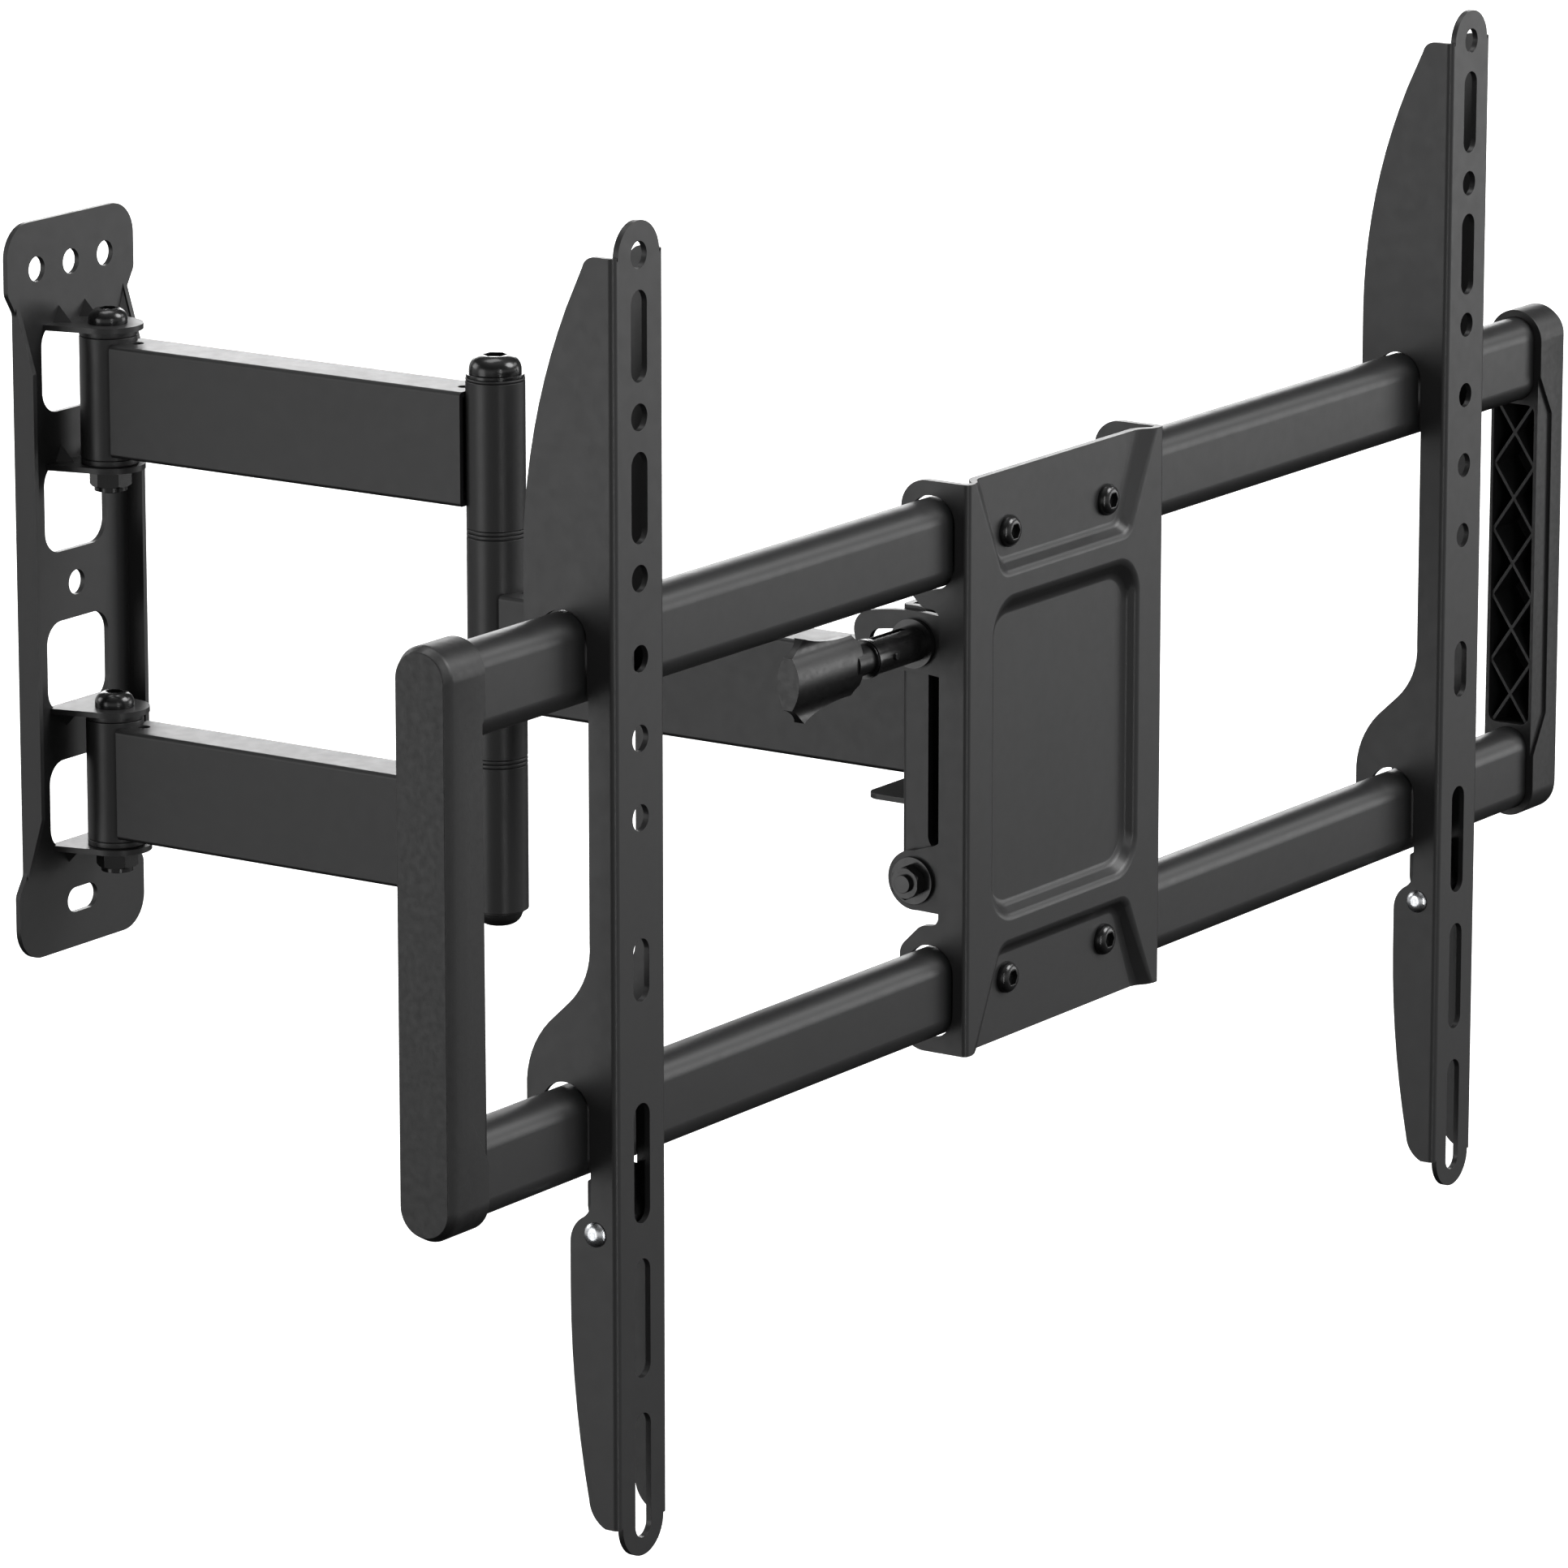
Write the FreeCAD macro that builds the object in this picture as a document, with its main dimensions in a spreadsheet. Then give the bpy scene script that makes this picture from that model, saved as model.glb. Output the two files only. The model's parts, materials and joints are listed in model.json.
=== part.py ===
"""Full motion wall mount for a flat screen, built as the pieces it is assembled from.

Frame: millimetres, X to the viewer's right, Y towards the wall, Z up. The wall is the plane Y = 0
and the origin is the middle of the wall plate's back face. The arms are straight out.
"""
import FreeCAD, Part
import math
import os
import re
from FreeCAD import Placement, Rotation, Vector

DIMENSIONS = {
    # wall plate, half sizes from its own middle
    "wall_sheet": 2, "wall_half_width": 35.5, "wall_half_height": 132.4, "wall_corner": 12,
    "waist_half_width": 31.2, "waist_low": 101, "waist_high": 108,
    "wall_flange_depth": 9, "wall_flange_full": 80, "wall_flange_reach": 103,
    "ramp_half_width": 24, "ramp_level": 86, "ramp_foot": 74,
    "wall_hole_radius": 4.5, "wall_hole_height": 115.3, "wall_hole_pitch": 19.2, "wall_slot_half": 4,
    "window_half_width": 17.4, "window_corner": 8, "outer_window_low": 63, "inner_window_low": 12.5,
    "outer_lug_top": 95, "inner_lug_top": 45, "lug_radius": 12.5, "lug_root_half": 16.9,
    "dart_leg": 5.8, "dart_half_width": 3.3, "dart_place": 7.4,
    # hinge axes, distance from the wall
    "wall_axis": 18, "elbow_axis": 185.5, "head_axis": 371.5,
    # barrels, bushes and arm tubes
    "barrel_radius": 10.3, "barrel_bore": 7.3, "bush_depth": 12, "running_fit": 0.05,
    "wall_barrel_low": 47.2, "wall_barrel_high": 90.8, "wall_bush_flange": 2.2,
    "elbow_barrel_low": 41.5, "elbow_barrel_high": 92.9, "elbow_bush_flange": 1.45,
    "elbow_bush_top": 1.1, "forearm_barrel_half": 38.6,
    "arm_level": 69, "arm_height": 40, "arm_width": 20, "arm_wall": 2, "arm_corner": 1.5,
    "arm_setback": 7.9,
    "head_barrel_half": 20, "head_bush_flange": 2.6, "head_bush_depth": 8,
    "vent_radius": 2.2, "vent_inset": 13,
    # fasteners
    "wall_pin": 4, "wall_bolt_head": 7, "wall_bolt_rise": 5.4, "wall_bolt_reach": 60.5, "wall_key": 2.9,
    "wall_nut_flats": 13, "wall_nut_height": 6.2, "wall_nut_collar": 1.6, "wall_nut_collar_radius": 5.8,
    "elbow_pin": 5, "elbow_bolt_head": 9.1, "elbow_bolt_rise": 6.4, "elbow_key": 3.5,
    "elbow_washer_radius": 10.1, "elbow_washer_height": 1.2, "cap_nut_radius": 8.25, "cap_nut_rim": 1,
    "cap_nut_rise": 4.6,
    "head_washer_radius": 9.5, "head_washer_height": 1.5, "head_nut_flats": 16, "head_nut_height": 8,
    # swivel head
    "head_sheet": 2.5, "head_half_width": 54.7, "head_half_height": 49.5, "head_web_back": 387.5,
    "head_top_tab": 399.1, "head_bottom_tab": 404.5, "head_notch_back": 397.9,
    "head_notch_low": 31.6, "head_notch_high": 28.4, "head_notch_corner": 5,
    "yoke_sheet": 2, "yoke_half_width": 30, "yoke_end": 356.7, "yoke_corner": 5,
    "tilt_axis": 394.2, "tilt_drop": 41.7, "lock_rise": 37.8,
    "stud_radius": 3, "stud_head": 3.8, "stud_head_height": 1.5, "stud_tail": 7.2,
    "tilt_washer_radius": 8, "tilt_washer_height": 1.6, "tilt_nut_flats": 10, "tilt_nut_height": 4,
    # tilt bracket
    "tilt_sheet": 2.5, "tilt_half_width": 57.5, "tilt_web_front": 410, "tilt_edge": 406,
    "ear_inner": 69.8, "ear_outer": 90, "ear_angle": 16.4, "ear_corner": 7,
    "slot_radius": 79.5, "slot_half_width": 4.1, "slot_rear": 9.7, "slot_front": 2.2,
    "pivot_lug_radius": 10, "tilt_foot": 52,
    # lock knob
    "shoulder_radius": 3.9, "collar_radius": 8.2, "collar_height": 2, "sleeve_radius": 6,
    "sleeve_end": 87.5, "sleeve_slot": 2.4, "sleeve_ring_radius": 6.5, "sleeve_ring_place": 85.7,
    "sleeve_ring_width": 1.4, "cross_pin_radius": 1.2, "cross_pin_place": 77.5,
    "neck_radius": 5, "grip_start": 93.5, "grip_end": 131, "hub_half_depth": 4.3, "hub_half_height": 8.6,
    "wing_half_depth": 2, "wing_waist_depth": 1.2, "wing_start": 96.5, "wing_end": 124.5,
    "wing_tip": 13.8, "wing_root": 10,
    # screen side, depths from the uprights' faces and heights from the middle of the rails
    "screen_face": 421.5, "middle_drop": 2.6,
    "plate_sheet": 2.5, "plate_half_width": 60, "plate_half_height": 95.4, "plate_front": 5,
    "plate_corner": 9.5, "plate_back": 31, "plate_edge": 16.1, "recess_depth": 4,
    "centre_half_width": 44, "centre_low": 53.4, "centre_high": 53.7, "centre_corner": 12,
    "centre_floor_half_width": 41.5, "centre_floor_low": 49.9, "centre_floor_high": 48.9,
    "end_mouth": 54.6, "end_neck": 38.6, "end_level": 62.2, "end_corner": 6,
    "end_floor_mouth": 49.2, "end_floor_neck": 36.2, "end_floor_level": 65.6,
    "rail_level": 75, "rail_depth": 19, "rail_radius": 7.5, "rail_straight_half": 7.5, "rail_wall": 1.5,
    "rail_half_length": 336, "rail_hole_radius": 9.1, "rail_hole_straight_half": 6.5,
    "rail_hole_depth": 19.4, "screw_spread": 30, "screw_radius": 3, "screw_head": 5.35,
    "screw_rise": 3, "screw_reach": 12, "screw_key": 2.3, "insert_radius": 4.4, "insert_length": 8,
    # end caps
    "cap_inner": 320.7, "cap_outer": 340, "cap_radius": 10.6, "cap_straight_half": 82,
    "cap_bevel": 1.7, "cap_bevel_run": 3.3, "cap_floor": 2.5, "cap_cavity_radius": 8.1,
    "cap_cavity_half": 58.5, "cap_rib": 1.3, "cap_rib_pitch": 24, "cap_rib_setback": 1,
    "waist_depth": 1.2, "waist_run": 8.6, "waist_half": 55, "waist_reach": 69.5,
    # uprights
    "upright_place": 252, "upright_sheet": 2, "upright_half_width": 13.5, "upright_bend": 2.2,
    "upright_top": 200.5, "upright_foot": 201, "tab_radius": 11, "vesa_radius": 4.25,
    # latches
    "rivet_depth": 8.3, "rivet_level": 106, "rivet_pin": 2.5, "rivet_head": 4, "rivet_rise": 1.8,
    "latch_hub": 4.2, "latch_half_width": 10.8, "latch_back": 13.2, "latch_front": 7.6, "latch_top": 88.6,
}

doc = FreeCAD.newDocument("WallMount")
dims = doc.addObject("Spreadsheet::Sheet", "Dims")
for row, (alias, number) in enumerate(DIMENSIONS.items(), start=1):
    dims.set(f"A{row}", alias)
    dims.set(f"B{row}", str(number))
    dims.setAlias(f"B{row}", alias)
doc.recompute()

pieces = []

UPWARD = Rotation()
ALONG_X = Rotation(Vector(0, 1, 0), 90)
AGAINST_X = Rotation(Vector(0, 1, 0), -90)
TO_FRONT = Rotation(Vector(1, 0, 0), 90)
DOWNWARD = Rotation(Vector(1, 0, 0), 180)
# sketch planes: across and up as seen from above, from the front and from the side
PLANES = {"XY": UPWARD, "XZ": TO_FRONT, "YZ": Rotation(Vector(1, 1, 1), 120)}


# ---------------------------------------------------------------- document helpers

def linked(text):
    """The expression with every alias in it pointed at the sheet."""
    def point(match):
        word = match.group()
        return "Dims." + word if word in DIMENSIONS else word
    return re.sub(r"[a-z_]+", point, str(text))


def bind(item, **sizes):
    for name, text in sizes.items():
        item.setExpression(name, linked(text))
    return item


def place(item, x=0, y=0, z=0, facing=UPWARD):
    item.Placement = Placement(Vector(), facing)
    for axis, text in zip("xyz", (x, y, z)):
        item.setExpression("Placement.Base." + axis, linked(text))
    return item


def box(name, length, width, height, x=0, y=0, z=0):
    item = doc.addObject("Part::Box", name)
    bind(item, Length=length, Width=width, Height=height)
    return place(item, x, y, z)


def rod(name, radius, height, x=0, y=0, z=0, facing=UPWARD):
    item = doc.addObject("Part::Cylinder", name)
    bind(item, Radius=radius, Height=height)
    return place(item, x, y, z, facing)


def hexagon(name, flats, height, x=0, y=0, z=0, facing=UPWARD):
    item = doc.addObject("Part::Prism", name)
    item.Polygon = 6
    bind(item, Circumradius=f"({flats}) / sqrt(3)", Height=height)
    return place(item, x, y, z, facing)


def fuse(name, *items):
    item = doc.addObject("Part::MultiFuse", name)
    item.Shapes = list(items)
    item.Refine = True
    return item


def common(name, *items):
    item = doc.addObject("Part::MultiCommon", name)
    item.Shapes = list(items)
    return item


def cut(name, base, *tools):
    item = doc.addObject("Part::Cut", name)
    item.Base = base
    item.Tool = tools[0] if len(tools) == 1 else fuse(name + "Tools", *tools)
    item.Refine = True
    return item


def group(name, *items):
    item = doc.addObject("Part::Compound", name)
    item.Links = list(items)
    return item


def rounded_edges(name, base, radius, chosen):
    """The base with a fillet on each straight edge whose middle the test picks out."""
    doc.recompute()
    picked = []
    for number, edge in enumerate(base.Shape.Edges, start=1):
        middle = edge.valueAt((edge.FirstParameter + edge.LastParameter) / 2)
        if isinstance(edge.Curve, Part.Line) and chosen(edge, middle):
            picked.append((number, radius, radius))
    item = doc.addObject("Part::Fillet", name)
    item.Base = base
    item.Edges = picked
    return item


def runs_along(edge, axis):
    return abs(abs(edge.tangentAt(edge.FirstParameter).dot(axis)) - 1) < 1e-6


def piece(label, item):
    """One named piece of the assembly."""
    item.Label = label
    pieces.append(item)
    return item


# ---------------------------------------------------------------- outlines

def path(start, *moves):
    """A closed loop. A move is a point, for a line, or a pair of points, for an arc by way of the first."""
    loop = []
    here = Vector(*start, 0)
    for move in moves + (start,):
        if isinstance(move[0], tuple):
            by_way, end = (Vector(*point, 0) for point in move)
            loop.append(Part.Arc(here, by_way, end))
        else:
            end = Vector(*move, 0)
            if (end - here).Length > 1e-6:
                loop.append(Part.LineSegment(here, end))
        here = end
    return loop


def rounded(*corners):
    """A closed loop of straight sides. A corner is (across, up) or (across, up, radius)."""
    loop = []
    count = len(corners)
    starts, ends, middles = [], [], []
    for index, corner in enumerate(corners):
        point = Vector(corner[0], corner[1], 0)
        radius = corner[2] if len(corner) > 2 else 0
        before = (Vector(*corners[index - 1][:2], 0) - point).normalize()
        after = (Vector(*corners[(index + 1) % count][:2], 0) - point).normalize()
        half_turn = before.getAngle(after) / 2
        back = radius / math.tan(half_turn)
        inward = (before + after).normalize() if radius else before
        starts.append(point + before * back)
        ends.append(point + after * back)
        middles.append(point + inward * (radius / math.sin(half_turn) - radius))
    for index in range(count):
        if (starts[index] - ends[index]).Length > 1e-6:
            loop.append(Part.Arc(starts[index], middles[index], ends[index]))
        following = starts[(index + 1) % count]
        if (following - ends[index]).Length > 1e-6:
            loop.append(Part.LineSegment(ends[index], following))
    return loop


def circle(across, up, radius):
    return [Part.Circle(Vector(across, up, 0), Vector(0, 0, 1), radius)]


def oval(across, up, straight_half, radius, upright=True):
    """A slot with round ends, standing or lying."""
    def at(along, aside):
        return (across + aside, up + along) if upright else (across + along, up + aside)
    return path(at(-straight_half, -radius), at(straight_half, -radius),
                (at(straight_half + radius, 0), at(straight_half, radius)), at(-straight_half, radius),
                (at(-straight_half - radius, 0), at(-straight_half, -radius)))


def sketch(name, plane, loops, x=0, y=0, z=0):
    item = doc.addObject("Sketcher::SketchObject", name)
    for loop in loops:
        for curve in loop:
            item.addGeometry(curve, False)
    return place(item, x, y, z, PLANES[plane])


def slab(name, plane, length, *loops, x=0, y=0, z=0):
    """A flat piece: the loops in one plane, made solid along the plane's normal."""
    item = doc.addObject("Part::Extrusion", name)
    item.Base = sketch(name + "Outline", plane, loops, x, y, z)
    item.DirMode = "Normal"
    item.Solid = True
    item.FaceMakerClass = "Part::FaceMakerBullseye"
    return bind(item, LengthFwd=length)


def blend(name, plane, first, second, first_place, second_place):
    """A solid whose straight sides join two loops of the same make in parallel planes."""
    item = doc.addObject("Part::Loft", name)
    item.Sections = [sketch(name + "First", plane, [first], **first_place),
                     sketch(name + "Second", plane, [second], **second_place)]
    item.Solid = True
    item.Ruled = True
    return item


def turned(name, loop):
    """A solid of revolution about Z from a loop of (radius, height) points."""
    item = doc.addObject("Part::Revolution", name)
    item.Source = sketch(name + "Outline", "XZ", [loop])
    item.Axis = (0, 0, 1)
    item.Base = (0, 0, 0)
    item.Angle = 360
    item.Solid = True
    return item


# ---------------------------------------------------------------- turned hardware

def ring(name, outer, inner, height, **where):
    """A plain ring standing on z = 0, then placed."""
    return place(cut(name, rod(name + "Body", outer, height), rod(name + "Bore", inner, height)), **where)


def button_bolt(name, head, rise, shank, reach, key, **where):
    """A domed socket bolt: the head stands on z = 0 and the shank hangs below it."""
    rim = rise * 0.2
    crown = head * 0.45
    tip = shank * 0.15
    profile = path((0, -reach), (shank - tip, -reach), (shank, -reach + tip), (shank, 0), (head, 0),
                   (head, rim), ((head * 0.87, rise * 0.72), (crown, rise)), (0, rise))
    socket = hexagon(name + "Socket", key * 2, rise, z=rise * 0.4)
    return place(cut(name, turned(name + "Turned", profile), socket), **where)


def flanged_bush(name, bore, flange, depth, **where):
    """A plastic bush: its flange stands on z = 0 and its sleeve hangs below, inside the barrel."""
    flange_disc = rod(name + "Flange", "barrel_radius", flange)
    sleeve = rod(name + "Sleeve", "barrel_bore", depth, z=f"-({depth})")
    opening = rod(name + "Opening", bore, f"({depth}) + ({flange})", z=f"-({depth})")
    return place(cut(name, fuse(name + "Body", flange_disc, sleeve), opening), **where)


def hex_nut(name, flats, bore, height, **where):
    """A hexagon nut with turned corners, standing on z = 0."""
    blank = hexagon(name + "Blank", flats, height)
    corner = dims.get(aliases[flats]) / 2
    tall = dims.get(aliases[height])
    barrel = turned(name + "Corners", path((0, 0), (corner * 1.02, 0), (corner * 1.155, corner * 0.09),
                                           (corner * 1.155, tall - corner * 0.09), (corner * 1.02, tall),
                                           (0, tall)))
    shaped = common(name + "Shaped", blank, barrel)
    return place(cut(name, shaped, rod(name + "Bore", bore, height)), **where)


aliases = {alias: f"B{row}" for row, alias in enumerate(DIMENSIONS, start=1)}


# ---------------------------------------------------------------- wall plate and its hinge pins

def pointed(name, base, **peak):
    """A solid that rises from a loop to a point."""
    tip = place(doc.addObject("Part::Vertex", name + "Tip"), **peak)
    item = doc.addObject("Part::Loft", name)
    item.Sections = [base, tip]
    item.Solid = True
    item.Ruled = True
    return item


def dart(name, side, level, upward):
    """A pressed stiffener over the bend between the plate and a lug, running out to a point."""
    half, leg = dims.dart_half_width, dims.dart_leg
    across = f"{side} * dart_place"
    base = sketch(name + "Base", "XZ", [rounded((-half, 0), (half, 0), (0, upward * leg))],
                  x=across, y="-wall_sheet", z=level)
    return pointed(name, base, x=across, y="-wall_sheet - dart_leg", z=level)


def corner_ramp(name, side, upward):
    """The slope pressed into the corner where a side flange runs out into the plate."""
    edge = side * (dims.waist_half_width - dims.wall_sheet / 2)
    base = sketch(name + "Base", "XZ", [rounded((edge, upward * dims.wall_flange_reach),
                                                (side * dims.ramp_half_width, upward * dims.ramp_level),
                                                (edge, upward * dims.ramp_foot))], y="-wall_sheet")
    return pointed(name, base, x=edge, y="-wall_flange_depth", z=f"{upward} * wall_flange_full")


def wall_plate():
    edge = [(dims.wall_half_width, dims.wall_half_height, dims.wall_corner),
            (dims.wall_half_width, dims.waist_high, 4), (dims.waist_half_width, dims.waist_low, 4),
            (dims.waist_half_width, -dims.waist_low, 4), (dims.wall_half_width, -dims.waist_high, 4),
            (dims.wall_half_width, -dims.wall_half_height, dims.wall_corner)]
    other_edge = [(-across, up, radius) for across, up, radius in reversed(edge)]
    loops = [rounded(*edge, *other_edge), circle(0, 0, dims.wall_hole_radius)]
    for column in (-1, 0, 1):
        loops.append(circle(column * dims.wall_hole_pitch, dims.wall_hole_height, dims.wall_hole_radius))
    loops.append(oval(0, -dims.wall_hole_height, dims.wall_slot_half, dims.wall_hole_radius, upright=False))
    for side in (1, -1):
        for low, high in ((dims.outer_window_low, dims.outer_lug_top),
                          (dims.inner_window_low, dims.inner_lug_top)):
            half, corner = dims.window_half_width, dims.window_corner
            loops.append(rounded((-half, side * low, corner), (half, side * low, corner),
                                 (half, side * high, corner), (-half, side * high, corner)))
    parts = [slab("WallSheet", "XZ", "wall_sheet", *loops)]

    flange = rounded((0, -dims.wall_flange_reach), (0, dims.wall_flange_reach),
                     (-dims.wall_sheet, dims.wall_flange_reach),
                     (-dims.wall_flange_depth, dims.wall_flange_full, 3),
                     (-dims.wall_flange_depth, -dims.wall_flange_full, 3),
                     (-dims.wall_sheet, -dims.wall_flange_reach))
    parts.append(slab("WallFlangeRight", "YZ", "wall_sheet", flange, x="waist_half_width - wall_sheet"))
    parts.append(slab("WallFlangeLeft", "YZ", "wall_sheet", flange, x="-waist_half_width"))

    for side in (1, -1):
        parts.append(corner_ramp(f"RampTop{side + 1}", side, 1))
        parts.append(corner_ramp(f"RampFoot{side + 1}", side, -1))

    lug = path((-dims.lug_root_half, 0), (dims.lug_root_half, 0), (dims.lug_radius, -dims.wall_axis),
               ((0, -dims.wall_axis - dims.lug_radius), (-dims.lug_radius, -dims.wall_axis)))
    pin_hole = circle(0, -dims.wall_axis, dims.wall_pin)
    for place_name, top in (("Outer", "outer_lug_top"), ("Inner", "inner_lug_top")):
        parts.append(slab("LugUpper" + place_name, "XY", "wall_sheet", lug, pin_hole,
                          z=f"{top} - wall_sheet"))
        parts.append(slab("LugLower" + place_name, "XY", "wall_sheet", lug, pin_hole, z=f"-{top}"))
        for side in (-1, 1):
            name = f"{place_name}{side + 1}"
            parts.append(dart("DartUpper" + name, side, top, 1))
            parts.append(dart("DartLower" + name, side, "-" + top, -1))
    piece("wall_plate", fuse("WallPlate", *parts))


def wall_hinge_pins():
    bolts, nuts = [], []
    for name, top in (("Upper", "outer_lug_top"), ("Lower", "-inner_lug_top + wall_sheet")):
        bolts.append(button_bolt("WallBolt" + name, dims.wall_bolt_head, dims.wall_bolt_rise, dims.wall_pin,
                                 dims.wall_bolt_reach, dims.wall_key, y="-wall_axis", z=top))
    for name, under in (("Upper", "inner_lug_top - wall_sheet"), ("Lower", "-outer_lug_top")):
        nut = hex_nut("WallNut" + name, "wall_nut_flats", "wall_pin", "wall_nut_height")
        collar = ring("WallNutCollar" + name, "wall_nut_collar_radius", "wall_pin", "wall_nut_collar",
                      z="wall_nut_height")
        nuts.append(place(fuse("WallLockNut" + name, nut, collar), y="-wall_axis", z=under,
                          facing=DOWNWARD))
    piece("wall_hinge_bolts", group("WallBolts", *bolts))
    piece("wall_hinge_nuts", group("WallNuts", *nuts))


# ---------------------------------------------------------------- arms

def arm_tube(name, level, start_axis, end_axis):
    """A rectangular tube cut square just short of the two hinge axes, coped where it meets the barrels."""
    half_width, half_height = dims.arm_width / 2, dims.arm_height / 2
    inner_width, inner_height = half_width - dims.arm_wall, half_height - dims.arm_wall
    corner = dims.arm_corner
    outside = rounded((-half_width, -half_height, corner), (half_width, -half_height, corner),
                      (half_width, half_height, corner), (-half_width, half_height, corner))
    inside = rounded((-inner_width, -inner_height), (inner_width, -inner_height),
                     (inner_width, inner_height), (-inner_width, inner_height))
    blank = slab(name + "Blank", "XZ", f"{end_axis} - {start_axis} - 2 * arm_setback", outside, inside,
                 y=f"-{start_axis} - arm_setback", z=level)
    cope = {"radius": "barrel_radius", "height": "arm_height * 2"}
    under = f"{level} - arm_height"
    tools = [rod(name + "CopeStart", **cope, y=f"-{start_axis}", z=under),
             rod(name + "CopeEnd", **cope, y=f"-{end_axis}", z=under),
             rod(name + "VentStart", "vent_radius", "arm_height", y=f"-{start_axis} - vent_inset", z=level),
             rod(name + "VentEnd", "vent_radius", "arm_height", y=f"-{end_axis} + vent_inset", z=level)]
    return cut(name, blank, *tools)


def rear_arms():
    for word, sign in (("upper", ""), ("lower", "-")):
        title = word.title()
        level = f"{sign}arm_level"
        facing = UPWARD if word == "upper" else DOWNWARD
        inward = DOWNWARD if word == "upper" else UPWARD
        piece("rear_tube_" + word, arm_tube("RearTube" + title, level, "wall_axis", "elbow_axis"))
        wall_barrel = ring("WallBarrel" + title, "barrel_radius", "barrel_bore",
                           "wall_barrel_high - wall_barrel_low", y="-wall_axis",
                           z=f"{sign}wall_barrel_low", facing=facing)
        piece("wall_barrel_" + word, wall_barrel)
        elbow_barrel = ring("ElbowBarrel" + title, "barrel_radius", "barrel_bore",
                            "elbow_barrel_high - elbow_barrel_low", y="-elbow_axis",
                            z=f"{sign}elbow_barrel_low", facing=facing)
        piece("elbow_barrel_" + word, elbow_barrel)
        bore = "wall_pin + running_fit"
        outer = flanged_bush("WallBushOuter" + title, bore, "wall_bush_flange", "bush_depth",
                             y="-wall_axis", z=f"{sign}wall_barrel_high", facing=facing)
        inner = flanged_bush("WallBushInner" + title, bore, "wall_bush_flange", "bush_depth",
                             y="-wall_axis", z=f"{sign}wall_barrel_low", facing=inward)
        piece("wall_bushes_" + word, group("WallBushes" + title, outer, inner))
    top = flanged_bush("ElbowBushTop", "elbow_pin", "elbow_bush_top", "bush_depth",
                       y="-elbow_axis", z="elbow_barrel_high")
    foot = ring("ElbowBushFoot", "barrel_bore", "elbow_pin", "bush_depth",
                y="-elbow_axis", z="-elbow_barrel_high")
    above = flanged_bush("ElbowBushAbove", "elbow_pin", "elbow_bush_flange", "bush_depth",
                         y="-elbow_axis", z="elbow_barrel_low", facing=DOWNWARD)
    below = flanged_bush("ElbowBushBelow", "elbow_pin", "elbow_bush_flange", "bush_depth",
                         y="-elbow_axis", z="-elbow_barrel_low")
    piece("rear_elbow_bushes", group("RearElbowBushes", top, foot, above, below))


def elbow_fasteners():
    seat = "elbow_barrel_high + elbow_bush_top"
    washer = ring("ElbowWasher", "elbow_washer_radius", "elbow_pin", "elbow_washer_height",
                  y="-elbow_axis", z=seat)
    piece("elbow_washer", washer)
    head_seat = dims.elbow_barrel_high + dims.elbow_bush_top + dims.elbow_washer_height
    reach = head_seat + dims.elbow_barrel_high + dims.cap_nut_rim
    bolt = button_bolt("ElbowBolt", dims.elbow_bolt_head, dims.elbow_bolt_rise, dims.elbow_pin, reach,
                       dims.elbow_key, y="-elbow_axis", z=f"{seat} + elbow_washer_height")
    piece("elbow_bolt", bolt)
    radius, rim, rise = dims.cap_nut_radius, dims.cap_nut_rim, dims.cap_nut_rise
    crown = ((radius * 0.8, rim + rise * 0.72), (radius * 0.4, rim + rise))
    dome = turned("CapNutBody", path((dims.elbow_pin, 0), (radius * 1.06, 0), (radius * 1.06, rim),
                                     (radius, rim), crown, (0, rim + rise), (0, rim),
                                     (dims.elbow_pin, rim)))
    piece("elbow_cap_nut", place(dome, y="-elbow_axis", z="-elbow_barrel_high", facing=DOWNWARD))


def forearm():
    piece("forearm_tube", arm_tube("ForearmTube", "0", "elbow_axis", "head_axis"))
    elbow_barrel = ring("ForearmElbowBarrel", "barrel_radius", "barrel_bore", "forearm_barrel_half * 2",
                        y="-elbow_axis", z="-forearm_barrel_half")
    piece("forearm_elbow_barrel", elbow_barrel)
    head_barrel = ring("ForearmHeadBarrel", "barrel_radius", "barrel_bore", "head_barrel_half * 2",
                       y="-head_axis", z="-head_barrel_half")
    piece("forearm_head_barrel", head_barrel)
    bore = "elbow_pin + running_fit"
    for label, axis, half, flange, depth in (
            ("forearm_elbow_bushes", "elbow_axis", "forearm_barrel_half", "elbow_bush_flange", "bush_depth"),
            ("forearm_head_bushes", "head_axis", "head_barrel_half", "head_bush_flange", "head_bush_depth")):
        title = label.title().replace("_", "")
        above = flanged_bush(title + "Above", bore, flange, depth, y=f"-{axis}", z=half)
        below = flanged_bush(title + "Below", bore, flange, depth, y=f"-{axis}", z="-" + half,
                             facing=DOWNWARD)
        piece(label, group(title, above, below))


# ---------------------------------------------------------------- swivel head

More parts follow.
